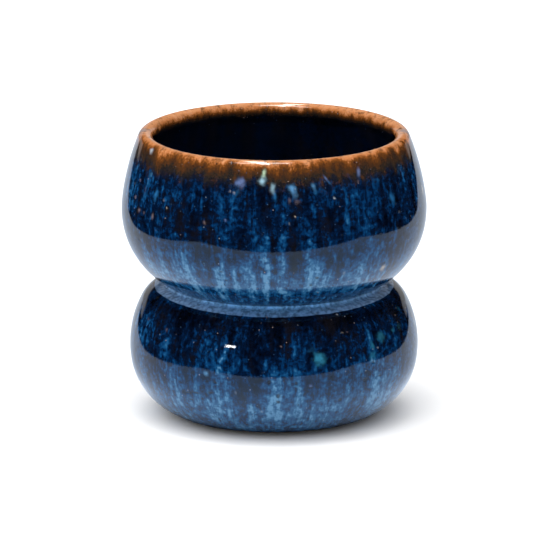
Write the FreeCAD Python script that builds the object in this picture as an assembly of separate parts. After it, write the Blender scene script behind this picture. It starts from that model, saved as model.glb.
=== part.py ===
import FreeCAD, Part
import math
import os

# A handle-less stoneware shaving mug (lather bowl) with two round bellies and a gripping waist.
# Millimetres, +Z up. The origin is on the axis, on the flat that the foot rests on.
#
# The mug is turned, so every piece is a revolved section. One chain of tangent arcs describes the
# outer glazed surface from the lip down to the foot. Every other surface of the wall is the same
# chain moved inwards along its own normals, so the wall keeps its thickness and pieces that touch
# share exactly the same surface.

# ---- driving dimensions ----
HEIGHT = 94.7            # foot to the crest of the lip
LIP_CREST_RADIUS = 42.2  # axis to the crest of the lip
WALL = 5.2               # whole wall: outer glaze, clay and liner glaze
GLAZE = 0.6              # one coat of glaze
LIP_ROUNDING = WALL / 2  # the lip is a full round
FLOOR_THICKNESS = 5.2    # foot plane to the glazed floor inside, beneath the last arc

# ---- foot ----
FOOT_OUTER_RADIUS = 29.2
FOOT_WIDTH = 6.0
FOOT_RECESS = 1.6        # height of the turned recess inside the foot ring
FOOT_EDGE = 0.5          # rounding of the ring's two lower edges

# ---- outline of the glazed surface, from the lip to the foot ----
# A heading is the direction of travel along the outline, in degrees: 0 points away from the axis,
# -90 straight down and -180 back to the axis. Each arc is (radius, heading at its end) and starts
# in the heading where the last one ended. Only the groove of the waist is hollow.
LIP_HEADING = -68.0
OUTLINE = (
    ("amber band", 82.4, -70.5),
    ("flared wall", 82.4, -83.0),
    ("upper belly", 28.2, -130.0),
    ("upper underside", 26.7, -150.0),
    ("groove above the waist", 0.5, -90.0),
    ("groove below the waist", 0.5, -8.0),
    ("lower shoulder", 9.5, -62.0),
    ("lower belly", 32.6, -100.0),
    ("lower underside", 21.6, -170.0),
)
BAND_END = 1             # station where the amber band stops
WAIST = 5                # station at the narrowest point of the waist
FOOT = len(OUTLINE)      # station where the outer glaze stops above the foot
LIP = 0                  # station where the lip's round passes into the wall

# ---- depths below the outer glazed surface ----
OUTER_SURFACE = 0.0
OUTER_CLAY = GLAZE
INNER_CLAY = WALL - GLAZE
INNER_SURFACE = WALL


def inward(heading):
    """Unit direction across the wall, from the outside towards the hollow, as (radius, height)."""
    angle = math.radians(heading)
    return math.sin(angle), -math.cos(angle)


def walk_outline():
    """Every arc of the outline as its start, middle and end, each (radius, height, heading)."""
    lip_in = inward(LIP_HEADING)
    centre_height = HEIGHT - LIP_ROUNDING
    radius = LIP_CREST_RADIUS - lip_in[0] * LIP_ROUNDING
    height = centre_height - lip_in[1] * LIP_ROUNDING
    heading = LIP_HEADING
    arcs = []
    for name, arc_radius, end_heading in OUTLINE:
        side = 1.0 if end_heading < heading else -1.0
        start_in = inward(heading)
        centre = (radius + side * arc_radius * start_in[0], height + side * arc_radius * start_in[1])
        spots = []
        for share in (0.0, 0.5, 1.0):
            here = heading + share * (end_heading - heading)
            here_in = inward(here)
            spots.append((centre[0] - side * arc_radius * here_in[0],
                          centre[1] - side * arc_radius * here_in[1], here))
        arcs.append(spots)
        radius, height, heading = spots[-1]
    return arcs


ARCS = walk_outline()


def point(radius, height):
    return FreeCAD.Vector(radius, 0, height)


def at_depth(spot, depth):
    """The point that lies a given depth under a spot of the outline."""
    radius, height, heading = spot
    across = inward(heading)
    return point(radius + across[0] * depth, height + across[1] * depth)


def station(number, depth):
    """A named station of the outline, moved into the wall by depth."""
    spot = ARCS[number][0] if number < FOOT else ARCS[-1][2]
    return at_depth(spot, depth)


def wall_line(first, last, depth):
    """Edges along the wall from one station to a later one, at one depth."""
    return [Part.Arc(*[at_depth(spot, depth) for spot in spots]).toShape()
            for spots in ARCS[first:last]]


def lip_round(depth):
    """The half circle over the lip at one depth, from the inside of the mug to the outside."""
    rounding = LIP_ROUNDING - depth
    inner = station(LIP, WALL - depth)
    outer = station(LIP, depth)
    along = math.radians(LIP_HEADING)
    middle = (inner + outer) * 0.5 - point(math.cos(along), math.sin(along)) * rounding
    return [Part.Arc(inner, middle, outer).toShape()]


def line(start, end):
    return [Part.makeLine(start, end)]


def revolved(edges):
    """The solid that a closed section in the XZ plane sweeps around the axis."""
    section = Part.Face(Part.Wire(Part.__sortEdges__(edges)))
    turned = section.revolve(FreeCAD.Vector(0, 0, 0), FreeCAD.Vector(0, 0, 1), 360)
    solid = turned if turned.ShapeType == "Solid" else turned.Solids[0]
    return solid.copy() if solid.Volume > 0 else solid.reversed()


def coat(first, last, near, far):
    """A skin between two stations and between two depths of the wall."""
    edges = wall_line(first, last, near)
    edges += line(station(last, near), station(last, far))
    edges += wall_line(first, last, far)
    edges += line(station(first, far), station(first, near))
    return revolved(edges)


def upper_bowl():
    """Clay of the upper belly, from the middle of the waist to the rounded lip."""
    edges = lip_round(OUTER_CLAY)
    edges += wall_line(LIP, WAIST, OUTER_CLAY)
    edges += line(station(WAIST, OUTER_CLAY), station(WAIST, INNER_CLAY))
    edges += wall_line(LIP, WAIST, INNER_CLAY)
    return revolved(edges)


def lower_bowl():
    """Clay of the lower belly with the floor. Its underside takes the foot ring."""
    rim_of_base = station(FOOT, OUTER_CLAY)
    floor_edge = station(FOOT, INNER_CLAY)
    recess_edge = point(FOOT_OUTER_RADIUS, FOOT_RECESS)
    skirt = point(FOOT_OUTER_RADIUS, rim_of_base.z)
    floor_height = FLOOR_THICKNESS - GLAZE
    edges = wall_line(WAIST, FOOT, OUTER_CLAY)
    edges += line(rim_of_base, skirt)
    edges += line(skirt, recess_edge)
    edges += line(recess_edge, point(0, FOOT_RECESS))
    edges += line(point(0, FOOT_RECESS), point(0, floor_height))
    edges += line(point(0, floor_height), floor_edge)
    edges += wall_line(WAIST, FOOT, INNER_CLAY)
    edges += line(station(WAIST, INNER_CLAY), station(WAIST, OUTER_CLAY))
    return revolved(edges)


def foot_ring():
    """Bare turned ring that the mug stands on, let into the base, with rounded lower edges."""
    inner = FOOT_OUTER_RADIUS - FOOT_WIDTH
    diagonal = FOOT_EDGE * (1 - math.sqrt(0.5))
    outer_round = Part.Arc(point(FOOT_OUTER_RADIUS, FOOT_EDGE),
                           point(FOOT_OUTER_RADIUS - diagonal, diagonal),
                           point(FOOT_OUTER_RADIUS - FOOT_EDGE, 0)).toShape()
    inner_round = Part.Arc(point(inner + FOOT_EDGE, 0),
                           point(inner + diagonal, diagonal),
                           point(inner, FOOT_EDGE)).toShape()
    edges = [outer_round, inner_round]
    edges += line(point(FOOT_OUTER_RADIUS - FOOT_EDGE, 0), point(inner + FOOT_EDGE, 0))
    edges += line(point(inner, FOOT_EDGE), point(inner, FOOT_RECESS))
    edges += line(point(inner, FOOT_RECESS), point(FOOT_OUTER_RADIUS, FOOT_RECESS))
    edges += line(point(FOOT_OUTER_RADIUS, FOOT_RECESS), point(FOOT_OUTER_RADIUS, FOOT_EDGE))
    return revolved(edges)


def rim_glaze():
    """Amber glaze over the lip, where the coat breaks thin, down to the end of the band."""
    edges = lip_round(OUTER_SURFACE)
    edges += wall_line(LIP, BAND_END, OUTER_SURFACE)
    edges += line(station(BAND_END, OUTER_SURFACE), station(BAND_END, OUTER_CLAY))
    edges += wall_line(LIP, BAND_END, OUTER_CLAY)
    edges += lip_round(OUTER_CLAY)
    edges += wall_line(LIP, BAND_END, INNER_CLAY)
    edges += line(station(BAND_END, INNER_CLAY), station(BAND_END, INNER_SURFACE))
    edges += wall_line(LIP, BAND_END, INNER_SURFACE)
    return revolved(edges)


def upper_glaze():
    """Blue glaze outside the upper belly, from the amber band to the waist."""
    return coat(BAND_END, WAIST, OUTER_SURFACE, OUTER_CLAY)


def lower_glaze():
    """Blue glaze outside the lower belly, from the waist to just above the foot ring."""
    return coat(WAIST, FOOT, OUTER_SURFACE, OUTER_CLAY)


def liner_glaze():
    """Dark blue glaze inside, from the amber band down the wall and across the floor."""
    floor_under = FLOOR_THICKNESS - GLAZE
    edges = wall_line(BAND_END, FOOT, INNER_SURFACE)
    edges += line(station(FOOT, INNER_SURFACE), point(0, FLOOR_THICKNESS))
    edges += line(point(0, FLOOR_THICKNESS), point(0, floor_under))
    edges += line(point(0, floor_under), station(FOOT, INNER_CLAY))
    edges += wall_line(BAND_END, FOOT, INNER_CLAY)
    edges += line(station(BAND_END, INNER_CLAY), station(BAND_END, INNER_SURFACE))
    return revolved(edges)


PIECES = (upper_bowl, lower_bowl, foot_ring, rim_glaze, upper_glaze, lower_glaze, liner_glaze)

os.makedirs("parts", exist_ok=True)
for make_piece in PIECES:
    shape = make_piece()
    shape.exportStep("parts/" + make_piece.__name__ + ".step")
    print(make_piece.__name__, "valid", shape.isValid(), "mm3", round(shape.Volume, 1),
          "z", round(shape.BoundBox.ZMin, 2), round(shape.BoundBox.ZMax, 2),
          "radius", round(shape.BoundBox.XMax, 2))
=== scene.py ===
import math
import random

import bpy
import numpy as np
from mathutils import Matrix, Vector, noise


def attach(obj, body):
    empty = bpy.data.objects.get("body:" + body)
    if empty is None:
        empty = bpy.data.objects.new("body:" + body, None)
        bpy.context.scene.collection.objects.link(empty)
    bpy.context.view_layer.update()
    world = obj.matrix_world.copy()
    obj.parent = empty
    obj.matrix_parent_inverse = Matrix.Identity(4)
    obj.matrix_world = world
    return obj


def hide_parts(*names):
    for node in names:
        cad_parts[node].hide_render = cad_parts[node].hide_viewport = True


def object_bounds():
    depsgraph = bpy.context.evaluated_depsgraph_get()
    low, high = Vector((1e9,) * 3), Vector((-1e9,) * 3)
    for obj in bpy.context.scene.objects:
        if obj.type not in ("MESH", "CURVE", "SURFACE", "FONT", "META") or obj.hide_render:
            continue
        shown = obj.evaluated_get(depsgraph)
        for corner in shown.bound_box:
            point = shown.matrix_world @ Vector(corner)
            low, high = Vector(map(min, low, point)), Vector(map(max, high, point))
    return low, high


# A handle-less stoneware shaving mug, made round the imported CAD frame. The clay keeps its CAD
# shape. The glaze coats are modelled here, with the slight unevenness of a thrown pot and with
# runs, dabs and pits in the glaze.

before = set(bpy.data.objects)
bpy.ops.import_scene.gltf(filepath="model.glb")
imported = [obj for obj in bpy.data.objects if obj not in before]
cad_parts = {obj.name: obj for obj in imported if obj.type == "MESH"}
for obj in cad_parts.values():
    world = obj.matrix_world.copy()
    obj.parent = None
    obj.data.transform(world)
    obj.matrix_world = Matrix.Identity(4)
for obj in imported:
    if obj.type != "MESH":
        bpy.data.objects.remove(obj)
CAD_LOW, CAD_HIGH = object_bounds()

# ---- the outline, as in the CAD model ----
# Lengths are in the outline's millimetres, and MM is one of those in metres.
HEIGHT = 94.7
MM = CAD_HIGH.z / HEIGHT
LIP_CREST_RADIUS = 42.2
WALL = 5.2
GLAZE = 0.6
LIP_ROUNDING = WALL / 2
LIP_HEADING = -68.0
FLOOR_THICKNESS = 5.2
OUTLINE = (
    ("amber band", 82.4, -70.5),
    ("flared wall", 82.4, -83.0),
    ("upper belly", 28.2, -130.0),
    ("upper underside", 26.7, -150.0),
    ("groove above the waist", 0.5, -90.0),
    ("groove below the waist", 0.5, -8.0),
    ("lower shoulder", 9.5, -62.0),
    ("lower belly", 32.6, -100.0),
    ("lower underside", 21.6, -170.0),
)
BAND_END = 1
WAIST = 5
FOOT = len(OUTLINE)

# ---- fineness of the meshes ----
COLUMNS = 640            # faces round the mug
RING_STEP = 0.5          # distance between rings on a surface that shows
LINER_STEP = 1.4         # the same inside the mug
LEAST_RINGS = 3          # on even the shortest arc
LIP_RINGS = 34           # over the lip's half round
FLOOR_RINGS = 15         # across the floor inside
FLOOR_CENTRE = 0.02      # radius at which the floor's rings stop
HIDDEN_EVERY = 3         # a surface that lies against the clay keeps every third ring
SHARP_ANGLE = math.radians(40)
FLOW_RADIUS = 48.0       # radius of the cylinder that the glaze pattern is laid on


def inward(heading):
    """Unit direction across the wall, from the outside towards the hollow."""
    return np.stack([np.sin(heading), -np.cos(heading)], -1)


class Path:
    """Points along a turned section: radius, height, heading and run, the way from the crest."""

    def __init__(self, spots, heading, run):
        self.spots = np.asarray(spots, float)
        self.heading = np.asarray(heading, float)
        self.run = np.asarray(run, float)

    def at_depth(self, depth):
        return Path(self.spots + inward(self.heading) * depth, self.heading, self.run)

    def reversed(self):
        return self.picked(slice(None, None, -1))

    def picked(self, rings):
        return Path(self.spots[rings], self.heading[rings], self.run[rings])

    def joined(self, other):
        return Path(np.vstack([self.spots, other.spots]),
                    np.concatenate([self.heading, other.heading]),
                    np.concatenate([self.run, other.run]))


def lip_centre():
    return np.array([LIP_CREST_RADIUS, HEIGHT - LIP_ROUNDING])


def lip_path():
    """Half round over the lip, from inside to outside; the run is negative inside the mug."""
    end = math.radians(LIP_HEADING)
    heading = np.linspace(end + math.pi, end, LIP_RINGS)
    spots = lip_centre() - inward(heading) * LIP_ROUNDING
    return Path(spots, heading, -heading * LIP_ROUNDING)


def wall_path(first, last, step):
    """The outer glazed surface from one station to a later one."""
    heading = math.radians(LIP_HEADING)
    spot = lip_centre() - inward(heading) * LIP_ROUNDING
    run = -heading * LIP_ROUNDING
    path = None
    for number, (_, radius, end_degrees) in enumerate(OUTLINE):
        end = math.radians(end_degrees)
        side = 1.0 if end < heading else -1.0
        length = radius * abs(end - heading)
        centre = spot + side * radius * inward(heading)
        if first <= number < last:
            rings = max(LEAST_RINGS, int(round(length / step)) + 1)
            headings = np.linspace(heading, end, rings)
            piece = Path(centre - side * radius * inward(headings), headings,
                         run + radius * np.abs(headings - heading))
            path = piece if path is None else path.joined(piece.picked(slice(1, None)))
        spot = centre - side * radius * inward(end)
        heading = end
        run += length
    return path


def thinned(path):
    """The same path with fewer rings, its first and last among them."""
    last = len(path.run) - 1
    keep = np.unique(np.linspace(0, last, last // HIDDEN_EVERY + 1).round().astype(int))
    return path.picked(keep)


# ---- relief: how far the thrown surface lies inside the true outline, never outside it ----
WOBBLE = (
    # waves round the mug, waves along a 100 mm run, depth in mm, phase
    (2, 0.7, 0.055, 0.4),
    (3, -1.3, 0.045, 2.1),
    (5, 2.2, 0.022, 4.0),
    (0, 6.0, 0.016, 1.0),
    (1, 11.0, 0.010, 3.0),
    (9, -3.1, 0.010, 5.2),
)


def relief(azimuth, run):
    depth = np.zeros(np.broadcast(azimuth, run).shape)
    for around, along, size, phase in WOBBLE:
        depth += size * (1 + np.cos(around * azimuth + along * run * math.tau / 100 + phase))
    return depth * 0.5


# ---- glaze features, placed by azimuth (degrees, 0 at the front, + to the right) and run ----
# Pale runs: azimuth at the top and bottom, run at the top and bottom, width in mm, strength.
PALE_RUNS = (
    (-70.0, -72.0, 5, 25, 9.0, 0.9),
    (-57.0, -58.0, 9, 22, 5.0, 0.6),
    (-3.6, -3.4, 24, 55, 2.6, 1.0),
    (-4.6, -2.5, 29, 47, 3.4, 0.5),
    (2.2, 3.6, 25, 50, 2.6, 0.9),
    (11.0, 13.4, 19, 28, 2.2, 0.5),
    (13.0, 15.0, 27, 47, 3.0, 0.75),
    (16.0, 23.0, 34, 48, 3.0, 0.6),
    (-22.0, -21.5, 36, 47, 3.8, 0.85),
    (-23.5, -22.5, 46, 58, 2.8, 0.7),
    (-15.5, -15.0, 36, 47, 3.4, 0.55),
    (-9.5, -9.0, 33, 47, 2.0, 0.4),
    (-37.5, -36.0, 34, 47, 3.6, 0.7),
    (-35.5, -35.0, 46, 53, 2.4, 0.7),
    (-39.0, -38.0, 27, 38, 1.4, 0.5),
    (-28.0, -27.5, 28, 33, 1.2, 0.45),
    (-14.5, -16.5, 7, 22, 1.8, 0.55),
    (-20.5, -22.0, 13, 24, 1.6, 0.3),
    (-33.0, -33.5, 12, 22, 1.4, 0.3),
    (-1.0, -0.5, 8, 17, 1.7, 0.6),
    (15.5, 16.5, 9, 21, 1.5, 0.55),
    (20.0, 25.0, 6, 14, 1.5, 0.55),
    (28.0, 28.5, 14, 25, 2.4, 0.35),
    (36.5, 36.0, 14, 27, 2.6, 0.3),
    (52.0, 54.0, 26, 37, 1.6, 0.4),
    (62.5, 61.0, 5, 17, 2.0, 0.45),
    (70.0, 68.5, 4, 9, 1.6, 0.35),
    (33.0, 41.0, 37, 54, 2.4, 0.45),
    (37.0, 48.0, 38, 55, 1.6, 0.35),
    (45.0, 58.0, 34, 47, 3.0, 0.3),
    (-47.0, -50.0, 29, 42, 2.6, 0.4),
    (-58.0, -62.0, 36, 47, 5.0, 0.45),
    (-10.0, -8.0, 46, 60, 1.6, 0.5),
    (5.0, 7.0, 46, 57, 2.8, 0.5),
    (13.5, 13.0, 47, 58, 1.8, 0.5),
    (24.0, 21.0, 50, 59, 1.4, 0.35),
    (6.8, 7.2, 60, 81, 1.4, 0.35),
    (-18.6, -19.4, 61, 82, 1.5, 0.4),
    (-19.0, -22.6, 73, 82, 1.5, 0.75),
    (-22.5, -22.0, 81, 98, 2.6, 0.8),
    (-27.5, -27.0, 85, 102, 5.0, 0.55),
    (-18.4, -18.0, 81, 93, 1.8, 0.5),
    (-26.5, -25.0, 70, 80, 4.5, 0.35),
    (-48.0, -50.0, 72, 80, 4.0, 0.35),
    (-67.0, -66.0, 68, 80, 6.0, 0.3),
    (-0.8, -1.2, 84, 99, 2.0, 0.85),
    (1.5, 1.5, 81, 100, 3.6, 0.6),
    (5.5, 5.0, 81, 100, 3.0, 0.6),
    (9.5, 10.5, 81, 100, 2.6, 0.5),
    (-9.0, -8.5, 93, 100, 3.6, 0.5),
    (-4.5, -4.5, 94, 100, 1.6, 0.4),
    (21.5, 20.5, 80, 98, 1.4, 0.4),
    (36.5, 37.0, 80, 85, 2.0, 0.5),
    (43.0, 42.0, 71, 81, 2.0, 0.6),
    (44.0, 45.0, 80, 99, 6.5, 0.45),
    (31.5, 30.5, 88, 94, 1.8, 0.6),
    (53.0, 56.0, 84, 98, 4.0, 0.4),
    (-45.0, -44.0, 82, 98, 6.0, 0.35),
    (-36.0, -35.0, 92, 100, 4.0, 0.35),
)
# Bare patches, where the glaze stayed dark: azimuth, run, width and length in mm, strength.
DARK_PATCHES = (
    (-29.5, 42, 7.5, 8, 0.55),
    (-29.0, 33, 6.0, 6, 0.35),
    (-6.8, 37, 2.2, 14, 0.4),
    (7.6, 34, 3.2, 9, 0.45),
    (26.0, 37, 7.0, 7, 0.45),
    (-12.5, 88, 7.0, 11, 0.6),
    (15.5, 86, 5.0, 8, 0.5),
    (26.5, 92, 6.0, 9, 0.35),
    (-36.0, 22, 9.0, 8, 0.35),
    (-6.5, 14, 5.0, 11, 0.45),
    (22.0, 21, 6.0, 9, 0.5),
    (42.0, 13, 6.0, 9, 0.35),
    (67.0, 17, 7.0, 14, 0.5),
    (46.0, 24, 9.0, 5, 0.4),
    (11.0, 65, 12.0, 9, 0.45),
    (29.0, 67, 12.0, 8, 0.6),
    (-12.5, 74, 4.0, 10, 0.5),
    (-40.0, 66, 14.0, 7, 0.4),
    (-38.0, 78, 5.0, 4, 0.4),
    (47.0, 65, 10.0, 6, 0.45),
    (-2.0, 73, 7.0, 8, 0.3),
    (52.0, 77, 5.0, 4, 0.35),
)
# Dabs of another colour: azimuth, run, width, length and tilt (degrees), colour, strength.
DABS = (
    (-92.0, 0.6, 6.0, 3.2, 0, "slate", 0.8),
    (-93.5, -0.6, 2.0, 2.6, 20, "ink", 0.7),
    (-86.0, 1.4, 2.2, 1.6, 0, "slate", 0.6),
    (91.0, 0.4, 7.0, 3.6, 0, "slate", 0.85),
    (95.0, -0.8, 2.4, 2.4, -20, "ink", 0.7),
    (87.0, 1.8, 2.0, 1.2, 0, "ink", 0.5),
    (-4.0, 0.3, 0.9, 3.6, 0, "ink", 0.85),
    (-4.4, -3.2, 1.3, 3.4, 0, "ink", 0.7),
    (-1.6, 2.0, 0.7, 1.2, 0, "ink", 0.5),
    (-4.2, 5.0, 1.6, 3.2, 12, "green_white", 1.0),
    (-4.9, 7.6, 3.0, 2.4, -20, "ice", 0.95),
    (-0.6, 9.8, 2.0, 3.2, 0, "ice", 0.8),
    (0.3, 12.6, 1.2, 2.6, 0, "azure", 0.8),
    (-13.6, 8.2, 3.4, 3.0, 15, "lavender", 0.85),
    (-14.6, 11.6, 1.8, 2.4, 15, "azure", 0.6),
    (7.0, 10.2, 3.0, 3.4, -25, "sky", 0.9),
    (8.2, 12.6, 2.4, 1.6, 0, "sky", 0.6),
    (15.6, 9.6, 1.6, 2.2, -25, "sky", 0.85),
    (16.3, 11.6, 1.4, 1.6, 0, "azure", 0.7),
    (20.9, 7.3, 0.9, 2.2, -35, "lavender", 0.8),
    (22.2, 8.8, 0.9, 1.8, -35, "azure", 0.7),
    (36.4, 6.8, 1.6, 3.0, 10, "lavender", 0.75),
    (35.2, 9.7, 1.4, 1.0, 0, "pink_grey", 0.6),
    (-63.0, 3.4, 2.8, 1.9, 0, "white_grey", 0.9),
    (-52.0, 16.2, 2.4, 3.6, 15, "azure", 0.95),
    (51.6, 17.2, 3.2, 3.8, -10, "azure", 0.75),
    (45.5, 10.4, 2.0, 1.0, 30, "azure", 0.5),
    (9.0, 14.4, 2.2, 1.8, 20, "pink_grey", 0.5),
    (5.9, 14.0, 1.0, 2.4, 0, "pink_grey", 0.5),
    (60.0, 9.0, 1.8, 3.4, 20, "azure", 0.5),
    (-52.2, 23.2, 1.3, 2.0, 10, "pink_grey", 0.8),
    (-61.8, 23.2, 2.0, 1.6, 0, "pink_grey", 0.7),
    (-58.0, 23.4, 1.2, 1.2, 0, "pink_grey", 0.55),
    (-66.4, 19.6, 2.0, 1.1, -20, "pink_grey", 0.7),
    (-59.8, 16.0, 1.6, 2.2, 0, "pink_grey", 0.35),
    (-65.4, 13.8, 1.6, 1.0, 0, "pink_grey", 0.55),
    (-44.9, 19.6, 0.8, 0.8, 0, "cream", 0.9),
    (-47.0, 17.4, 0.8, 0.6, 20, "cream", 0.8),
    (-16.0, 11.8, 0.8, 0.6, 0, "cream", 0.9),
    (-17.6, 11.4, 0.6, 0.8, 20, "cream", 0.7),
    (-14.6, 4.6, 1.0, 0.6, 20, "pink_grey", 0.7),
    (-27.0, 22.2, 1.2, 1.4, -15, "pink_grey", 0.65),
    (-18.6, 20.8, 1.0, 0.9, -20, "lavender", 0.8),
    (7.8, 19.2, 0.7, 0.7, 0, "cream", 0.95),
    (5.6, 21.4, 0.6, 0.7, 0, "white_grey", 0.8),
    (23.8, 14.0, 0.8, 0.7, 0, "white_grey", 0.95),
    (30.0, 14.0, 0.5, 0.5, 0, "white_grey", 0.7),
    (54.8, 22.4, 1.2, 0.6, 0, "white_grey", 0.6),
    (57.4, 13.8, 0.8, 0.6, 0, "pink_grey", 0.5),
    (48.4, 41.0, 2.6, 3.0, -15, "cream", 0.75),
    (28.3, 40.2, 1.2, 2.0, -10, "white_grey", 0.45),
    (37.8, 40.6, 1.0, 2.2, -15, "lavender", 0.5),
    (-27.6, 36.3, 0.6, 0.6, 0, "sky", 0.8),
    (8.6, 41.4, 1.2, 1.0, 0, "sky", 0.5),
    (-27.6, 83, 2.0, 1.6, 0, "sky", 0.95),
    (-23.6, 82.8, 0.6, 0.7, 0, "sky", 0.6),
    (18.4, 77.4, 4.8, 4.0, 30, "turquoise", 0.9),
    (16.4, 75.6, 1.6, 1.2, 30, "turquoise", 0.5),
    (14.6, 74.4, 3.0, 1.4, -30, "azure", 0.5),
    (48.6, 73.4, 4.2, 3.4, -25, "turquoise", 0.7),
    (43.2, 75.6, 1.8, 3.4, -15, "turquoise", 0.75),
    (42.6, 78.6, 3.4, 2.4, 0, "turquoise", 0.65),
    (46.0, 76.8, 1.0, 0.8, 0, "white_grey", 0.7),
    (57.6, 72.8, 2.6, 1.8, 0, "turquoise", 0.6),
    (63.0, 72.4, 3.4, 1.8, 0, "turquoise", 0.45),
    (68.6, 67.4, 2.4, 2.0, 0, "turquoise", 0.4),
    (29.8, 63.4, 1.0, 0.6, 0, "white_grey", 0.85),
    (29.4, 69.6, 1.4, 0.5, 10, "cream", 0.6),
    (31.8, 69.8, 0.8, 0.5, 0, "pink_grey", 0.5),
    (2.8, 72.8, 0.9, 0.7, 0, "pink_grey", 0.8),
    (25.0, 76.6, 0.5, 0.5, 0, "white_grey", 0.6),
    (-50.2, 71.6, 1.6, 1.2, 0, "pink_grey", 0.45),
    (-65.6, 70.6, 2.6, 0.8, 0, "pink_grey", 0.35),
    (14.4, 86.2, 1.4, 1.0, 0, "lavender", 0.7),
    (31.2, 92.4, 1.6, 2.6, 15, "sky", 0.7),
    (-15.4, 88.6, 0.7, 1.4, 0, "white_grey", 0.5),
    (-3.4, 62.4, 0.8, 1.4, 0, "pink_grey", 0.5),
    (-5.2, 95.6, 1.0, 1.0, -20, "white_grey", 0.5),
)
# Pits and cracks in the glaze: azimuth, run, width, length, tilt.
PITS = (
    (-33.6, 90.4, 3.6, 0.7, 3),
    (-37.6, 90.9, 3.0, 0.35, 6),
    (-36.0, 93.4, 3.0, 0.4, -14),
    (-26.2, 89.6, 1.9, 0.9, -6),
    (-23.8, 85.8, 1.4, 0.8, 0),
    (1.6, 89.4, 1.1, 1.5, 0),
    (1.6, 91.6, 1.2, 0.9, 0),
    (8.6, 85.2, 0.8, 1.2, 0),
    (8.6, 87, 0.7, 0.9, 0),
    (-2.0, 84.6, 0.9, 2.0, 10),
    (-20.8, 38.8, 1.0, 0.7, 0),
    (-19.4, 42.2, 0.9, 0.5, 0),
    (17.0, 40.9, 1.4, 0.9, 0),
    (15.0, 44.0, 0.9, 0.8, -20),
    (2.2, 40.2, 0.5, 1.1, 0),
    (-4.4, 24.8, 0.7, 1.2, 0),
    (-5.6, 32.6, 0.6, 0.9, 0),
    (-61.6, 33.2, 1.8, 1.0, 0),
    (38.8, 86.6, 1.8, 1.2, 0),
    (46.8, 86.2, 1.6, 0.6, 0),
    (27.6, 92.4, 1.2, 1.4, 30),
    (42.8, 81.2, 1.0, 0.7, 0),
    (35.2, 3.4, 0.9, 0.5, 0),
    (-18.0, 2.2, 0.7, 0.8, 0),
)
# How thick and pale the blue lies at each run, 0 to 1, before streaks and mottling.
# Inside the mug, under run 0, the low levels are partly painted shade of the hollow.
LEVELS = (
    (-7, 0.12), (-2, 0.34), (0, 0.40), (9, 0.42), (14, 0.47), (26, 0.43), (31, 0.44),
    (35, 0.51), (43, 0.68), (47, 0.69), (50, 0.58), (56, 0.58), (62, 0.40), (65, 0.24),
    (69, 0.34), (75, 0.44), (83, 0.50), (88, 0.57), (95, 0.69), (102, 0.70), (109, 0.68),
    (113, 0.50),
)
COLOURS = {
    "green_white": (0.42, 0.58, 0.40),
    "ice": (0.30, 0.50, 0.62),
    "sky": (0.10, 0.28, 0.52),
    "azure": (0.02, 0.14, 0.34),
    "lavender": (0.16, 0.24, 0.50),
    "turquoise": (0.028, 0.21, 0.34),
    "white_grey": (0.45, 0.50, 0.56),
    "pink_grey": (0.30, 0.22, 0.22),
    "cream": (0.60, 0.52, 0.42),
    "slate": (0.12, 0.15, 0.19),
    "ink": (0.006, 0.006, 0.010),
}

# The side away from the viewer gets features of the same kinds, scattered from a fixed seed.
BACK_SEED = 11
BACK_START = 78          # degrees of azimuth
BACK_END = 282
# Pale runs there: where on the run they start and must end, and how many.
BACK_BANDS = ((6, 22, 8), (26, 50, 16), (60, 82, 8), (80, 98, 16))
BACK_PATCH_COUNT = 24
BACK_DAB_COUNT = 60
BACK_PIT_COUNT = 26
BACK_DAB_COLOURS = ("ice", "sky", "azure", "lavender", "turquoise", "pink_grey", "cream", "white_grey")


def scattered_features():
    """More pale runs, dark patches, dabs and pits for the side away from the viewer."""
    chance = random.Random(BACK_SEED)
    runs = []
    patches = []
    dabs = []
    pits = []
    for top, low, how_many in BACK_BANDS:
        for _ in range(how_many):
            azimuth = chance.uniform(BACK_START, BACK_END)
            start = chance.uniform(top, top + 8)
            runs.append((azimuth, azimuth + chance.uniform(-4, 4), start,
                         min(low, start + chance.uniform(9, 22)), chance.uniform(1.4, 5.0),
                         chance.uniform(0.3, 0.85)))
    for _ in range(BACK_PATCH_COUNT):
        patches.append((chance.uniform(BACK_START, BACK_END), chance.choice((16, 36, 66, 86))
                        + chance.uniform(-7, 7), chance.uniform(4, 12), chance.uniform(6, 12),
                        chance.uniform(0.3, 0.55)))
    for _ in range(BACK_DAB_COUNT):
        size = chance.uniform(0.6, 3.0)
        dabs.append((chance.uniform(BACK_START, BACK_END), chance.choice((8, 14, 22, 72, 78))
                     + chance.uniform(-4, 4), size, size * chance.uniform(0.7, 1.6),
                     chance.uniform(-25, 25), chance.choice(BACK_DAB_COLOURS),
                     chance.uniform(0.4, 0.85)))
    for _ in range(BACK_PIT_COUNT):
        pits.append((chance.uniform(BACK_START, BACK_END), chance.choice((38, 88))
                     + chance.uniform(-6, 6), chance.uniform(0.6, 2.4), chance.uniform(0.4, 1.2),
                     chance.uniform(-15, 15)))
    return runs, patches, dabs, pits


BACK_RUNS, BACK_PATCHES, BACK_DABS, BACK_PITS = scattered_features()

# How the features meet the glaze round them.
RUN_FADE_TOP = 4.0       # mm over which a pale run comes in
RUN_FADE_END = 3.0       # mm over which it ends
PATCH_EDGE = 1.2         # how sharply a bare patch ends
DAB_TAIL = 0.75          # under 1, a dab reaches further down the pot than up
DAB_REACH = 1.55         # where a dab ends, in half widths
DAB_SOFTNESS = 1.4       # how much of that its soft edge takes
DAB_RAGGED = 0.45
PIT_REACH = 1.6
# Noise that bends the pale runs: scale per mm, seed and size in mm.
WANDER = ((0.12, 3.0, 1.6), (0.5, 9.0, 0.5))
RAGGED_SCALE = 0.9
RAGGED_SEED = 21.0


def arc_distance(azimuth, centre_degrees):
    """Distance round the mug from an azimuth to a line at centre_degrees, in mm."""
    gap = azimuth - np.radians(centre_degrees)
    gap = (gap + math.pi) % math.tau - math.pi
    return gap * FLOW_RADIUS


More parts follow.
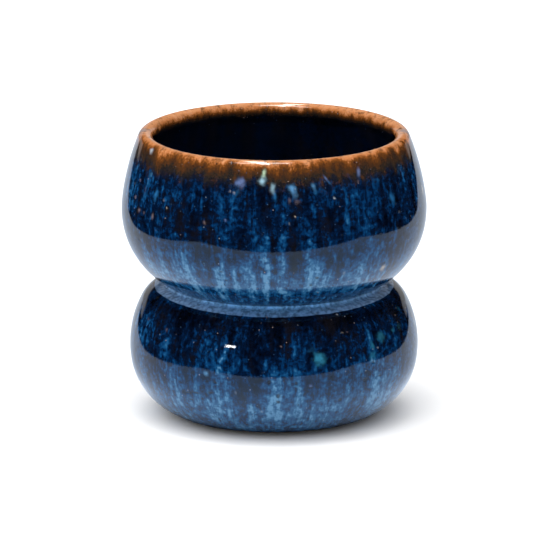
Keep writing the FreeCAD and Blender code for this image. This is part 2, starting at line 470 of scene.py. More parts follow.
def smooth(x):
    """Smooth step from 0 to 1."""
    x = np.clip(x, 0, 1)
    return x * x * (3 - 2 * x)


def spot_place(azimuth, run, az, at, width, length, tilt):
    """Each point's place in a tilted spot, in half widths across and half lengths along it."""
    across = arc_distance(azimuth, az)
    along = run - at
    turn = math.radians(tilt)
    u = (across * math.cos(turn) + along * math.sin(turn)) / (width * 0.5)
    v = (along * math.cos(turn) - across * math.sin(turn)) / (length * 0.5)
    return u, v


def pale_paint(azimuth, run, wander):
    """How much pale glaze has run over each point: under 0 where it stayed bare, up to 1 or more."""
    amount = np.zeros(azimuth.shape)
    for top_az, low_az, top, low, width, strength in (*PALE_RUNS, *BACK_RUNS):
        share = np.clip((run - top) / (low - top), 0, 1)
        centre = top_az + (low_az - top_az) * share
        across = arc_distance(azimuth, centre) + wander
        ends = smooth((run - top) / RUN_FADE_TOP + 0.5) * smooth((low - run) / RUN_FADE_END + 0.5)
        amount += strength * ends * np.exp(-(across / (width * 0.5)) ** 2)
    for az, at, width, length, strength in (*DARK_PATCHES, *BACK_PATCHES):
        u, v = spot_place(azimuth, run, az, at, width, length, 0)
        amount -= strength * np.exp(-(u * u + v * v) ** PATCH_EDGE)
    return amount


def dab_paint(azimuth, run, ragged):
    """Colour and strength of the dabs at each point."""
    colour = np.zeros(azimuth.shape + (4,))
    for az, at, width, length, tilt, name, strength in (*DABS, *BACK_DABS):
        u, v = spot_place(azimuth, run, az, at, width, length, tilt)
        v = np.where(v > 0, v * DAB_TAIL, v)
        reach = np.hypot(u, v) + ragged * DAB_RAGGED
        cover = strength * smooth((DAB_REACH - reach) / DAB_SOFTNESS)
        colour[..., :3] += (np.array(COLOURS[name]) - colour[..., :3]) * cover[..., None]
        colour[..., 3] = np.maximum(colour[..., 3], cover)
    return colour


def pit_paint(azimuth, run):
    """Depth of the pits and cracks at each point, 0 to 1."""
    depth = np.zeros(azimuth.shape)
    for pit in (*PITS, *BACK_PITS):
        u, v = spot_place(azimuth, run, *pit)
        depth = np.maximum(depth, smooth(PIT_REACH - np.hypot(u, v)))
    return depth


def drift(azimuth, run, scale, seed):
    """Smooth repeatable noise, about -1 to 1, on the cylinder that the pattern is laid on."""
    x = np.cos(azimuth) * FLOW_RADIUS * scale
    y = np.sin(azimuth) * FLOW_RADIUS * scale
    z = run * scale + seed
    flat = [noise.noise((a, b, c)) for a, b, c in zip(x.ravel(), y.ravel(), z.ravel())]
    return np.array(flat).reshape(azimuth.shape)


# ---- meshes ----
def turned_mesh(name, shown, hidden):
    """A closed ring of section: the shown path with relief, then the hidden path back again."""
    azimuth = np.arange(COLUMNS) * math.tau / COLUMNS
    shown_az, shown_run = np.meshgrid(azimuth, shown.run)
    hidden_az, hidden_run = np.meshgrid(azimuth, hidden.run)
    depth = relief(shown_az, shown_run)[..., None]
    shown_spots = shown.spots[:, None] + inward(shown.heading)[:, None] * depth
    hidden_spots = np.repeat(hidden.spots[:, None], COLUMNS, 1)
    radius, height = np.moveaxis(np.vstack([shown_spots, hidden_spots]), -1, 0)
    all_az = np.vstack([shown_az, hidden_az])
    all_run = np.vstack([shown_run, hidden_run])
    place = np.stack([radius * np.sin(all_az), -radius * np.cos(all_az), height], -1) * MM
    mesh = mesh_of_quads(name, place, ring_quads(len(all_run)))
    paint(mesh, all_az, all_run)
    piece = bpy.data.objects.new(name, mesh)
    bpy.context.scene.collection.objects.link(piece)
    return piece


def ring_quads(rings):
    """Corners of the faces between rings of COLUMNS points, the last ring joined to the first."""
    ring = np.arange(rings)[:, None]
    next_ring = (ring + 1) % rings
    column = np.arange(COLUMNS)
    next_column = (column + 1) % COLUMNS
    corners = [ring * COLUMNS + column, next_ring * COLUMNS + column,
               next_ring * COLUMNS + next_column, ring * COLUMNS + next_column]
    return np.stack(corners, -1).reshape(-1, 4).astype(np.int32)


def mesh_of_quads(name, place, quads):
    mesh = bpy.data.meshes.new(name)
    mesh.vertices.add(place.size // 3)
    mesh.vertices.foreach_set("co", place.reshape(-1))
    mesh.loops.add(quads.size)
    mesh.loops.foreach_set("vertex_index", quads.reshape(-1))
    mesh.polygons.add(len(quads))
    mesh.polygons.foreach_set("loop_start", np.arange(0, quads.size, 4, dtype=np.int32))
    mesh.polygons.foreach_set("use_smooth", np.ones(len(quads), bool))
    mesh.update(calc_edges=True)
    mesh.validate()
    mesh.set_sharp_from_angle(angle=SHARP_ANGLE)
    return mesh


def paint(mesh, azimuth, run):
    """Writes the pattern's coordinates and the placed features to the mesh's points."""
    wander = sum(drift(azimuth, run, scale, seed) * size for scale, seed, size in WANDER)
    ragged = drift(azimuth, run, RAGGED_SCALE, RAGGED_SEED)
    flow = np.stack([np.sin(azimuth) * FLOW_RADIUS, -np.cos(azimuth) * FLOW_RADIUS, run], -1)
    write(mesh, "flow", "FLOAT_VECTOR", "vector", flow)
    write(mesh, "level", "FLOAT", "value", np.interp(run, *zip(*LEVELS)))
    write(mesh, "pale", "FLOAT", "value", pale_paint(azimuth, run, wander))
    write(mesh, "dab", "FLOAT_COLOR", "color", dab_paint(azimuth, run, ragged))
    write(mesh, "pit", "FLOAT", "value", pit_paint(azimuth, run))


def write(mesh, name, kind, field, values):
    attribute = mesh.attributes.new(name, kind, "POINT")
    attribute.data.foreach_set(field, np.ascontiguousarray(values, np.float32).reshape(-1))


# ---- node helpers ----
class Nodes:
    """Short names for building the node tree of a material or a world."""

    def __init__(self, owner):
        owner.use_nodes = True
        self.owner = owner
        self.tree = owner.node_tree

    def add(self, kind):
        return self.tree.nodes.new("ShaderNode" + kind)

    def link(self, value, socket):
        if isinstance(value, bpy.types.NodeSocket):
            self.tree.links.new(value, socket)
        else:
            socket.default_value = value

    def attribute(self, name, output):
        node = self.add("Attribute")
        node.attribute_name = name
        return node.outputs[output]

    def coordinates(self, output):
        return self.add("TexCoord").outputs[output]

    def math(self, kind, a, b=0.0, c=0.0, clamp=False):
        node = self.add("Math")
        node.operation = kind
        node.use_clamp = clamp
        for value, socket in zip((a, b, c), node.inputs):
            self.link(value, socket)
        return node.outputs[0]

    def vector_math(self, kind, vector, other, output):
        node = self.add("VectorMath")
        node.operation = kind
        self.link(vector, node.inputs[0])
        self.link(other, node.inputs[1])
        return node.outputs[output]

    def stretched(self, vector, scale):
        return self.vector_math("MULTIPLY", vector, scale, "Vector")

    def length(self, vector):
        return self.vector_math("LENGTH", vector, (0, 0, 0), "Value")

    def part(self, vector, axis):
        node = self.add("SeparateXYZ")
        self.link(vector, node.inputs[0])
        return node.outputs[axis]

    def noise(self, vector, stretch, scale, detail, rough, distortion):
        node = self.add("TexNoise")
        self.link(self.stretched(vector, (1, 1, stretch)), node.inputs["Vector"])
        node.inputs["Scale"].default_value = scale
        node.inputs["Detail"].default_value = detail
        node.inputs["Roughness"].default_value = rough
        node.inputs["Distortion"].default_value = distortion
        return node.outputs["Fac"]

    def cells(self, vector, stretch, scale):
        node = self.add("TexVoronoi")
        self.link(self.stretched(vector, (1, 1, stretch)), node.inputs["Vector"])
        node.inputs["Scale"].default_value = scale
        return node.outputs["Distance"], node.outputs["Color"]

    def ramp(self, value, stops):
        node = self.add("ValToRGB")
        self.link(value, node.inputs["Fac"])
        elements = node.color_ramp.elements
        while len(elements) < len(stops):
            elements.new(0.5)
        for element, (place, colour) in zip(elements, stops):
            element.position = place
            element.color = (*colour, 1.0)
        return node.outputs["Color"]

    def between(self, value, low, high, out_low=0.0, out_high=1.0):
        """Smooth step from out_low at low to out_high at high."""
        node = self.add("MapRange")
        node.interpolation_type = "SMOOTHSTEP"
        for name, number in (("From Min", low), ("From Max", high), ("To Min", out_low),
                             ("To Max", out_high)):
            node.inputs[name].default_value = number
        self.link(value, node.inputs["Value"])
        return node.outputs["Result"]

    def mix(self, factor, a, b):
        node = self.add("Mix")
        node.data_type = "RGBA"
        self.link(factor, node.inputs["Factor"])
        colour_sockets = [socket for socket in node.inputs if socket.type == "RGBA"]
        for value, socket in zip((a, b), colour_sockets):
            if not isinstance(value, bpy.types.NodeSocket):
                value = (*value, 1.0)
            self.link(value, socket)
        return [socket for socket in node.outputs if socket.type == "RGBA"][0]

    def bump(self, height, distance):
        node = self.add("Bump")
        node.inputs["Strength"].default_value = 1.0
        node.inputs["Distance"].default_value = distance
        self.link(height, node.inputs["Height"])
        return node.outputs["Normal"]

    def surface(self, colour, roughness, normal):
        """Links the material's own shader and gives the finished material."""
        shader = self.tree.nodes["Principled BSDF"]
        self.link(colour, shader.inputs["Base Color"])
        self.link(roughness, shader.inputs["Roughness"])
        self.link(normal, shader.inputs["Normal"])
        shader.inputs["IOR"].default_value = GLOSS_IOR
        return self.owner

    def output(self, shader):
        self.link(shader, self.tree.nodes["Material Output"].inputs["Surface"])


# ---- glaze ----
GLOSS_IOR = 1.5
# Noises: stretch along the run (under 1 draws them out), scale per mm, detail, roughness, distortion.
STREAK = (0.14, 0.26, 5, 0.60, 0.5)
FIBRE = (0.30, 1.25, 4, 0.60, 0.4)
MOTTLE = (1.00, 0.55, 8, 0.62, 0.2)
PEEL = (1.00, 1.60, 2, 0.50, 0.0)
IRON_PATCH = (0.35, 0.16, 3, 0.60, 0.0)
POOL_WAVER = (1.00, 0.25, 3, 0.50, 0.0)
LIP_RAGGED = (0.45, 0.22, 6, 0.65, 0.0)
LIP_GRAIN = (1.00, 1.50, 5, 0.75, 0.0)
TOAST = (1.00, 0.40, 6, 0.72, 0.0)
# How much each noise moves the level of the blue.
STREAK_WEIGHT = 1.12
FIBRE_WEIGHT = 0.50
MOTTLE_WEIGHT = 1.25
# Colours of the blue, from thin and dark to thick and pale.
BLUE_STOPS = (
    (0.00, (0.0003, 0.0008, 0.0025)),
    (0.25, (0.0004, 0.0020, 0.0080)),
    (0.45, (0.0006, 0.0075, 0.0300)),
    (0.60, (0.0012, 0.0225, 0.0780)),
    (0.71, (0.0040, 0.0490, 0.1380)),
    (0.83, (0.0140, 0.0820, 0.1850)),
    (1.00, (0.0650, 0.1800, 0.3200)),
)
# The liner: near-black, partly the glaze's own colour and partly painted shade of the hollow inside
# the mug.
LINER_AND_SHADE_STOPS = (
    (0.0, (0.0003, 0.0018, 0.0075)),
    (0.5, (0.0005, 0.0065, 0.0240)),
    (1.0, (0.0008, 0.0110, 0.0400)),
)
IRON_COLOUR = (0.0060, 0.0052, 0.0065)
IRON_COVER = 0.6
PIT_COLOUR = (0.0015, 0.004, 0.010)
PIT_COVER = 0.92
# Relief in the glaze, all of it times BUMP_DEPTH.
BUMP_DEPTH = 0.08        # mm
PEEL_HEIGHT = 0.12
MOTTLE_HEIGHT = 0.05
PIT_HEIGHT = -0.9
PINHOLE_HEIGHT = -0.6
ROUGHNESS_LOW = 0.03
ROUGHNESS_HIGH = 0.06
PIT_ROUGHNESS = 0.25


def glaze_material(name, stops, pale_gain, speck_strength):
    """Float glaze: streaks that run down the pot over a dark ground, breaking amber at the lip."""
    n = Nodes(bpy.data.materials.new(name))
    flow = n.attribute("flow", "Vector")
    run = n.part(flow, "Z")
    mottle = n.noise(flow, *MOTTLE)
    level = glaze_level(n, flow, mottle, pale_gain)
    colour = n.ramp(level, stops)
    colour = brown_ground(n, flow, colour, level)
    colour = shoulder_pool_and_reflection(n, flow, run, colour, mottle)
    colour = amber_lip(n, flow, run, colour)
    cover = n.math("MULTIPLY", n.attribute("dab", "Alpha"), n.between(mottle, 0.3, 0.65, 0.60, 0.92))
    colour = n.mix(cover, colour, n.attribute("dab", "Color"))
    colour, pinhole = specks(n, flow, colour, speck_strength)
    pit = n.attribute("pit", "Fac")
    colour = n.mix(n.math("MULTIPLY", pit, PIT_COVER), colour, PIT_COLOUR)
    height = n.math("MULTIPLY", n.noise(flow, *PEEL), PEEL_HEIGHT)
    for source, size in ((mottle, MOTTLE_HEIGHT), (pit, PIT_HEIGHT), (pinhole, PINHOLE_HEIGHT)):
        height = n.math("MULTIPLY_ADD", source, size, height)
    roughness = n.between(mottle, 0.3, 0.8, ROUGHNESS_LOW, ROUGHNESS_HIGH)
    roughness = n.math("MULTIPLY_ADD", pit, PIT_ROUGHNESS, roughness)
    return n.surface(colour, roughness, n.bump(height, BUMP_DEPTH * MM))


def glaze_level(n, flow, mottle, pale_gain):
    """How thick and pale the blue lies: the level at this run, pale runs, streaks and mottling."""
    pale = n.math("MULTIPLY", n.attribute("pale", "Fac"), n.between(mottle, 0.3, 0.7, 0.80, 1.18))
    level = n.math("MULTIPLY_ADD", pale, pale_gain, n.attribute("level", "Fac"))
    for source, weight in ((n.noise(flow, *STREAK), STREAK_WEIGHT),
                           (n.noise(flow, *FIBRE), FIBRE_WEIGHT),
                           (mottle, MOTTLE_WEIGHT)):
        level = n.math("ADD", level, n.math("MULTIPLY_ADD", source, weight, -weight / 2))
    return level


def brown_ground(n, flow, colour, level):
    """Iron showing through, brown-black, where the blue lies thin."""
    thin = n.between(level, 0.50, 0.25)
    amount = n.math("MULTIPLY", thin, n.between(n.noise(flow, *IRON_PATCH), 0.45, 0.65))
    return n.mix(n.math("MULTIPLY", amount, IRON_COVER), colour, IRON_COLOUR)


# Pale band on the shoulder under the waist: partly glaze pooled there, partly a painted reflection of
# the lit table.
POOL_START = 57.4        # mm of run: just above the bottom of the groove
POOL_END = 62.8          # mm of run: where the pale band on the shoulder ends
POOL_NARROWS = 1.6       # mm less at the sides than at the front and back
POOL_WAVERS = 0.6        # mm by which its lower edge wanders
POOL_AND_REFLECTION_STOPS = (
    (0.0, (0.160, 0.430, 0.840)),
    (0.3, (0.100, 0.250, 0.490)),
    (1.0, (0.070, 0.160, 0.330)),
)
# Painted reflection: towards the sides the band turns pale grey, as the glaze there mirrors the bright
# room.
POOL_SIDE_REFLECTION = (0.26, 0.40, 0.62)
POOL_SIDE_REFLECTION_COVER = 0.7


def shoulder_pool_and_reflection(n, flow, run, colour, mottle):
    """Pale band on the shoulder under the waist, with a clear lower edge: pooled glaze and painted
    reflection.
    """
    aside = n.math("MULTIPLY", n.part(flow, "X"), 1 / FLOW_RADIUS)
    aside = n.math("MULTIPLY", aside, aside)
    edge = n.math("MULTIPLY_ADD", n.noise(flow, *POOL_WAVER), POOL_WAVERS, run)
    edge = n.math("MULTIPLY_ADD", aside, POOL_NARROWS, edge)
    inside = n.math("MULTIPLY", n.between(edge, POOL_END + 0.45, POOL_END + 0.15),
                    n.between(run, POOL_START - 0.3, POOL_START))
    share = n.between(run, POOL_START, POOL_END)
    inside = n.math("MULTIPLY", inside, n.between(mottle, 0.35, 0.65, 0.35, 1.0))
    # painted reflection, paler and greyer towards the sides
    pool_and_reflection = n.mix(n.math("MULTIPLY", aside, POOL_SIDE_REFLECTION_COVER), n.ramp(share, POOL_AND_REFLECTION_STOPS), POOL_SIDE_REFLECTION)
    return n.mix(inside, colour, pool_and_reflection)


# Colour of the lip by its distance from the crest, as a share of RIM_REACH.
RIM_REACH = 12.0         # mm
RIM_STOPS = (
    (0.00, (0.500, 0.225, 0.105)),
    (0.10, (0.420, 0.150, 0.048)),
    (0.20, (0.180, 0.054, 0.010)),
    (0.30, (0.090, 0.030, 0.007)),
    (0.42, (0.044, 0.018, 0.008)),
    (0.56, (0.020, 0.014, 0.010)),
    (0.75, (0.009, 0.009, 0.011)),
)
RIM_ENDS = 11.5          # mm from the crest, where the last of the brown has gone
RIM_FADES = 7.0          # mm from the crest, where the blue starts to show
INSIDE_SHADE_POWER = 2.4       # inside the mug the colours follow sooner, by this power of the distance, partly as painted shade
INSIDE_SHADE_GAIN = 0.135
CREST_HOLD = 0.45        # how fast the raggedness sets in away from the crest, per mm
TOAST_COLOUR = (0.060, 0.024, 0.008)
TOAST_LIGHT = (0.600, 0.280, 0.140)


def amber_lip(n, flow, run, colour):
    """Amber over the lip, through brown to near-black, mottled and ragged, then the blue; sooner
    inside, partly painted shade.
    """
    ragged = n.math("MULTIPLY_ADD", n.noise(flow, *LIP_RAGGED), -13.0, 6.4)
    grain = n.math("MULTIPLY_ADD", n.noise(flow, *LIP_GRAIN), -7.0, 3.5)
    # Inside the mug the brown gives way to dark sooner: partly the glaze, partly painted shade of the
    # hollow.
    inside = n.math("LESS_THAN", run, 0.0)
    away = n.math("ABSOLUTE", run)
    quicker = n.math("MULTIPLY", n.math("POWER", away, INSIDE_SHADE_POWER), INSIDE_SHADE_GAIN)
    edge = n.math("MULTIPLY_ADD", inside, n.math("SUBTRACT", quicker, away), away)
    reach = n.math("MULTIPLY", edge, CREST_HOLD, clamp=True)
    edge = n.math("ADD", edge, n.math("MULTIPLY", reach, ragged))
    edge = n.math("ADD", edge, n.math("MULTIPLY", reach, grain))
    brown = n.ramp(n.math("MULTIPLY", edge, 1 / RIM_REACH), RIM_STOPS)
    toast = n.noise(flow, *TOAST)
    brown = n.mix(n.between(toast, 0.50, 0.66, 0.0, 0.80), brown, TOAST_COLOUR)
    lighter = n.math("MULTIPLY", n.between(toast, 0.46, 0.32, 0.0, 0.4), n.between(edge, 3.2, 1.6))
    brown = n.mix(lighter, brown, TOAST_LIGHT)
    return n.mix(n.between(edge, RIM_ENDS, RIM_FADES), colour, brown)


# Cells that the specks sit in: stretch along the run and scale per mm.
GRAIN_CELLS = (1.0, 0.42)
PEPPER_CELLS = (1.0, 0.95)
PINHOLE_CELLS = (0.9, 0.36)
# Size of the specks, as the outer and inner end of their soft edge, in cells.
GRAIN_SIZE = (0.085, 0.055)
PEPPER_SIZE = (0.20, 0.09)
PINHOLE_SIZE = (0.12, 0.06)


def specks(n, flow, colour, strength):
    """Pale grains, a fine pepper and pinholes scattered through the glaze."""
    near, tint = n.cells(flow, *GRAIN_CELLS)
    grain = dots(n, near, n.part(tint, "X"), GRAIN_SIZE, 0.55, 0.60)
    warm = n.mix(n.part(tint, "Y"), (0.30, 0.36, 0.42), (0.50, 0.36, 0.30))
    colour = n.mix(n.math("MULTIPLY", grain, 0.55 * strength), colour, warm)
    near, tint = n.cells(flow, *PEPPER_CELLS)
    light = dots(n, near, n.part(tint, "X"), PEPPER_SIZE, 0.86, 0.90)
    dark = dots(n, near, n.part(tint, "Y"), PEPPER_SIZE, 0.58, 0.62)
    colour = n.mix(n.math("MULTIPLY", light, 0.35 * strength), colour, (0.10, 0.20, 0.34))
    colour = n.mix(n.math("MULTIPLY", dark, 0.70 * strength), colour, (0.001, 0.002, 0.006))
    near, tint = n.cells(flow, *PINHOLE_CELLS)
    hole = dots(n, near, n.part(tint, "X"), PINHOLE_SIZE, 0.45, 0.50)
    colour = n.mix(n.math("MULTIPLY", hole, 0.85 * strength), colour, (0.001, 0.002, 0.005))
    return colour, hole


def dots(n, near, chance, size, none_below, all_above):
    """A round dot in each cell whose chance, 0 to 1, is high enough."""
    return n.math("MULTIPLY", n.between(near, *size), n.between(chance, none_below, all_above))


# ---- clay ----
SAND = (1.0, 1.80, 6, 0.70, 0.0)
CLOUD = (1.0, 0.12, 3, 0.50, 0.0)
IRON_SPECK = (0.08, 0.05, 0.035)
TURNING_LINES = 7.0      # radians of the lines' wave per mm
LINE_HEIGHT = 0.25
CLAY_BUMP = 0.12         # mm


def clay_material(name, dark, light):
    """Bare fired stoneware: sandy, with iron specks and fine turning lines."""
    n = Nodes(bpy.data.materials.new(name))
    place = n.stretched(n.coordinates("Object"), (1 / MM,) * 3)
    sand = n.noise(place, *SAND)
    colour = n.mix(n.between(n.noise(place, *CLOUD), 0.35, 0.65), dark, light)
    colour = n.mix(n.between(sand, 0.62, 0.75), colour, IRON_SPECK)
    radius = n.length(n.stretched(place, (1, 1, 0)))
    line = n.math("SINE", n.math("MULTIPLY", radius, TURNING_LINES))
    height = n.math("MULTIPLY_ADD", line, LINE_HEIGHT, sand)
    roughness = n.between(sand, 0.3, 0.7, 0.72, 0.92)
    return n.surface(colour, roughness, n.bump(height, CLAY_BUMP * MM))


# ---- pieces ----
def coat_piece(name, node, shown, material):
    """A coat of glaze that stands for a CAD node: the surface that shows and the one on the clay."""
    hidden = thinned(shown.at_depth(GLAZE)).reversed()
    piece = turned_mesh(name, shown, hidden)
    piece.data.materials.append(material)
    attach(piece, "root")
    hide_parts(node)


def inner_run(outer_run):
    """Run of the point inside the mug that faces a point outside: the lip's round lies between."""
    around_lip = (math.pi - 2 * math.radians(-LIP_HEADING)) * LIP_ROUNDING
    return -(outer_run + around_lip)


def inner_wall(first, last, step):
    """The wall's surface inside the mug, seen from the hollow."""
    wall = wall_path(first, last, step).at_depth(WALL)
    return Path(wall.spots, wall.heading + math.pi, inner_run(wall.run))


def rim_path():
    inner = inner_wall(0, BAND_END, RING_STEP).reversed()
    outer = wall_path(0, BAND_END, RING_STEP)
    return inner.picked(slice(None, -1)).joined(lip_path()).joined(outer.picked(slice(1, None)))


def liner_path():
    path = inner_wall(BAND_END, FOOT, LINER_STEP)
    edge_radius, edge_height = path.spots[-1]
    steps = np.linspace(0, 1, FLOOR_RINGS + 1)[1:]
    radius = edge_radius + (FLOOR_CENTRE - edge_radius) * steps
    height = edge_height + (FLOOR_THICKNESS - edge_height) * steps
    floor = Path(np.stack([radius, height], 1), np.zeros(FLOOR_RINGS),
                 path.run[-1] - edge_radius * steps)
    return path.joined(floor)


blue = glaze_material("blue_float_glaze", BLUE_STOPS, 0.30, 1.0)
liner = glaze_material("dark_liner_glaze", LINER_AND_SHADE_STOPS, 0.0, 0.15)
coat_piece("rim_glaze_coat", "rim_glaze", rim_path(), blue)
coat_piece("upper_glaze_coat", "upper_glaze", wall_path(BAND_END, WAIST, RING_STEP), blue)
coat_piece("lower_glaze_coat", "lower_glaze", wall_path(WAIST, FOOT, RING_STEP), blue)
coat_piece("liner_glaze_coat", "liner_glaze", liner_path().reversed(), liner)

clay = clay_material("stoneware_clay", (0.20, 0.13, 0.09), (0.30, 0.21, 0.15))
foot_clay = clay_material("bare_foot_clay", (0.22, 0.15, 0.10), (0.34, 0.25, 0.18))
for node, material in (("upper_bowl", clay), ("lower_bowl", clay), ("foot_ring", foot_clay)):
    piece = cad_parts[node]
    piece.data.materials.clear()
    piece.data.materials.append(material)


# ---- stage, in metres ----
STUDIO_DARK = (0.004, 0.004, 0.005)
FLOOR_GREY = 0.9
STAGE_SIDE = 3.0         # half the side of the floor
CONTACT_INNER = 0.031    # radius where the painted contact shadow under the mug starts to fade, as mirrored
CONTACT_OUTER = 0.054
# What the glaze mirrors: a lit table, a little under the floor that is seen, with dark studio
# beyond its edges.
TABLE_DEPTH = 0.032
TABLE_FRONT = -0.260     # the edge towards the camera, at the middle
TABLE_BEND = 0.4         # how much that edge bends back towards the sides
TABLE_LEFT = 0.31
TABLE_RIGHT = 0.42
TABLE_OPENS = 0.22       # both sides open beyond this
TABLE_SPREAD = 0.4       # how fast they open
TABLE_EDGE = 0.002       # half the width of the soft edge
TABLE_TINT = (0.66, 0.92, 1.28)
TABLE_BEHIND = (0.80, 0.90, 1.04)
TABLE_MIDDLE = 1.45      # brightness near the mug, against 1 further off
# The room that the glaze mirrors above the table, and the light that falls on everything.
BACKDROP_STRENGTH = 0.45
BACKDROP_HALF_ANGLE = math.radians(38)
BACKDROP_TOP = math.radians(13.5)
CEILING_STRENGTH = 0.9
CEILING_FROM = math.radians(80)
CEILING_FULL = math.radians(84)
SKY_EVEN = 0.35          # light that comes from every side
SKY_OVERHEAD = 2.85      # light that falls off away from SKY_AIM
SKY_AIM = (-0.20, -0.22, 0.95)
# Softboxes: azimuth and elevation in degrees, distance, width and height in metres, watts, and
# the one piece that mirrors it, or None where it lights everything.
SOFTBOXES = (
    ("top_softbox", 2, 80, 0.9, 0.22, 0.12, 1.0, None),
    ("key_softbox", -36, 16.6, 1.2, 0.13, 0.024, 1.2, "lower_glaze_coat"),
    ("rim_softbox", -47, 80, 0.5, 0.10, 0.30, 0.8, "rim_glaze_coat"),
    ("bar_softbox", -90, 84.5, 0.9, 1.0, 0.09, 5.0, "rim_glaze_coat"),
)
CAMERA_ELEVATION = math.radians(14.18)
CAMERA_DISTANCE = 2.337
LENS = 479.9
SENSOR = 36.0
CLIP_START = 0.05
CLIP_END = 20.0
AIM_HEIGHT = 0.5155      # of the mug's height
AIM_ASIDE = -0.0247      # of the mug's width


def floor_material():
    """Pale matt floor. The glaze mirrors only a painted contact shadow, dark where the mug meets it.
    """
    n = Nodes(bpy.data.materials.new("pale_floor"))
    matt = n.tree.nodes["Principled BSDF"]
    matt.inputs["Base Color"].default_value = (FLOOR_GREY, FLOOR_GREY, FLOOR_GREY, 1)
    matt.inputs["Roughness"].default_value = 0.9
    matt.inputs["Specular IOR Level"].default_value = 0.0
    # Painted contact shadow: to mirrored rays the floor is dark near the mug and clear further off.
    shade = n.between(n.length(n.coordinates("Object")), CONTACT_INNER, CONTACT_OUTER)
    clear = n.add("BsdfTransparent")
    n.link(n.mix(shade, STUDIO_DARK, (1, 1, 1)), clear.inputs["Color"])
    mixer = n.add("MixShader")
    n.link(n.add("LightPath").outputs["Is Glossy Ray"], mixer.inputs[0])
    n.link(matt.outputs[0], mixer.inputs[1])
    n.link(clear.outputs[0], mixer.inputs[2])
    n.output(mixer.outputs[0])
    return n.owner


def mirrored_table_material():
    """Lit table, brightest in the middle, with dark studio round it."""
    n = Nodes(bpy.data.materials.new("mirrored_table"))
    n.owner.cycles.emission_sampling = "NONE"
    place = n.coordinates("Object")
    x = n.part(place, "X")
    y = n.part(place, "Y")
    bend = n.math("MULTIPLY", n.math("MULTIPLY", x, x), TABLE_BEND)
    front = n.math("SUBTRACT", n.math("SUBTRACT", y, TABLE_FRONT), bend)
    beyond = n.math("MAXIMUM", n.math("SUBTRACT", y, TABLE_OPENS), 0.0)
    spread = n.math("MULTIPLY", beyond, TABLE_SPREAD)
    left = n.math("ADD", n.math("ADD", x, TABLE_LEFT), spread)
    right = n.math("ADD", n.math("SUBTRACT", TABLE_RIGHT, x), spread)
    inside = n.math("MINIMUM", front, n.math("MINIMUM", left, right))
    table = n.between(inside, -TABLE_EDGE, TABLE_EDGE)
    light = n.between(n.length(place), 0.190, 0.070, 1.0, TABLE_MIDDLE)
    tint = n.mix(n.between(y, -0.10, 0.06), TABLE_TINT, TABLE_BEHIND)
    lit = n.add("Emission")
    n.link(n.mix(table, STUDIO_DARK, tint), lit.inputs["Color"])
    n.link(n.math("MAXIMUM", light, n.math("SUBTRACT", 1.0, table)), lit.inputs["Strength"])
    n.output(lit.outputs[0])
    return n.owner


def level_square(name, height, material):
    mesh = bpy.data.meshes.new(name)
    corners = [(x * STAGE_SIDE, y * STAGE_SIDE, 0) for x, y in ((-1, -1), (1, -1), (1, 1), (-1, 1))]
    mesh.from_pydata(corners, [], [(0, 1, 2, 3)])
    mesh.materials.append(material)
    piece = bpy.data.objects.new(name, mesh)
    piece.location = (0, 0, height)
    bpy.context.scene.collection.objects.link(piece)
    return piece


def make_floor():
    level_square("floor", 0.0, floor_material())
    table = level_square("mirrored_table", -TABLE_DEPTH, mirrored_table_material())
    table.visible_camera = False
    table.visible_diffuse = False
    table.visible_shadow = False


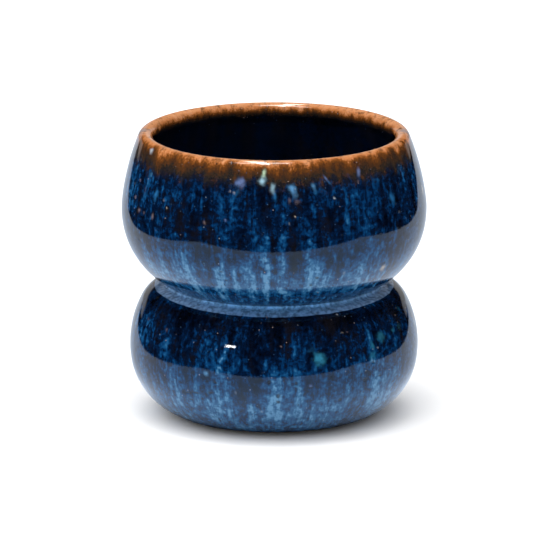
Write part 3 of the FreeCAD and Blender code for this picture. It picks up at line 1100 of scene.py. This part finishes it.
def make_world():
    """Soft light from above for every surface. The glaze mirrors a dark room instead."""
    n = Nodes(bpy.data.worlds.new("studio"))
    bpy.context.scene.world = n.owner
    direction = n.coordinates("Generated")
    x, y, z = (n.part(direction, axis) for axis in "XYZ")
    aside = n.math("ABSOLUTE", n.math("ARCTAN2", x, y))
    wide = n.math("MULTIPLY", aside, 1 / BACKDROP_HALF_ANGLE)
    tall = n.math("MULTIPLY", z, 1 / math.sin(BACKDROP_TOP))
    arch = n.math("ADD", n.math("MULTIPLY", wide, wide), n.math("MULTIPLY", tall, tall))
    backdrop = n.between(arch, 1.08, 0.92)
    ceiling = n.between(z, math.sin(CEILING_FROM), math.sin(CEILING_FULL))
    room = n.math("MULTIPLY", backdrop, BACKDROP_STRENGTH)
    room = n.math("MAXIMUM", room, n.math("MULTIPLY", ceiling, CEILING_STRENGTH))
    room = n.math("MAXIMUM", room, STUDIO_DARK[1])
    facing = n.math("MAXIMUM", n.vector_math("DOT_PRODUCT", direction, SKY_AIM, "Value"), 0.0)
    sky = n.math("MULTIPLY_ADD", n.math("MULTIPLY", facing, facing), SKY_OVERHEAD, SKY_EVEN)
    glossy = n.add("LightPath").outputs["Is Glossy Ray"]
    strength = n.math("MULTIPLY_ADD", glossy, n.math("SUBTRACT", room, sky), sky)
    background = n.tree.nodes["Background"]
    background.inputs["Color"].default_value = (1, 1, 1, 1)
    n.link(strength, background.inputs["Strength"])
    n.owner.cycles.sampling_method = "NONE"


def away_from_middle(azimuth, elevation):
    """Unit direction at an azimuth (0 towards the camera) and an elevation, in radians."""
    return Vector((math.sin(azimuth) * math.cos(elevation),
                   -math.cos(azimuth) * math.cos(elevation), math.sin(elevation)))


def face_along(piece, away):
    piece.rotation_mode = "QUATERNION"
    piece.rotation_quaternion = away.to_track_quat("Z", "Y")
    bpy.context.scene.collection.objects.link(piece)


def make_softbox(name, azimuth, elevation, distance, width, height, watts, mirrored_by):
    lamp = bpy.data.lights.new(name, "AREA")
    lamp.shape = "RECTANGLE"
    lamp.size = width
    lamp.size_y = height
    lamp.energy = watts
    piece = bpy.data.objects.new(name, lamp)
    away = away_from_middle(math.radians(azimuth), math.radians(elevation))
    piece.location = Vector((0, 0, CAD_HIGH.z / 2)) + away * distance
    face_along(piece, away)
    if mirrored_by:
        only_mirrored(piece, mirrored_by)


def only_mirrored(lamp, piece_name):
    """The lamp shows only as its mirror image on one piece."""
    lit = bpy.data.collections.new(lamp.name + "_lights")
    lit.objects.link(bpy.data.objects[piece_name])
    lamp.light_linking.receiver_collection = lit
    lamp.visible_diffuse = False


def make_camera():
    data = bpy.data.cameras.new("camera")
    data.lens = LENS
    data.sensor_width = SENSOR
    data.clip_start = CLIP_START
    data.clip_end = CLIP_END
    camera = bpy.data.objects.new("camera", data)
    back = away_from_middle(0.0, CAMERA_ELEVATION)
    width = CAD_HIGH.x - CAD_LOW.x
    aim = Vector((AIM_ASIDE * width, 0, AIM_HEIGHT * CAD_HIGH.z))
    camera.location = aim + back * CAMERA_DISTANCE
    face_along(camera, back)
    bpy.context.scene.camera = camera


make_floor()
make_world()
for settings in SOFTBOXES:
    make_softbox(*settings)
make_camera()
bpy.context.scene.view_settings.view_transform = "Standard"
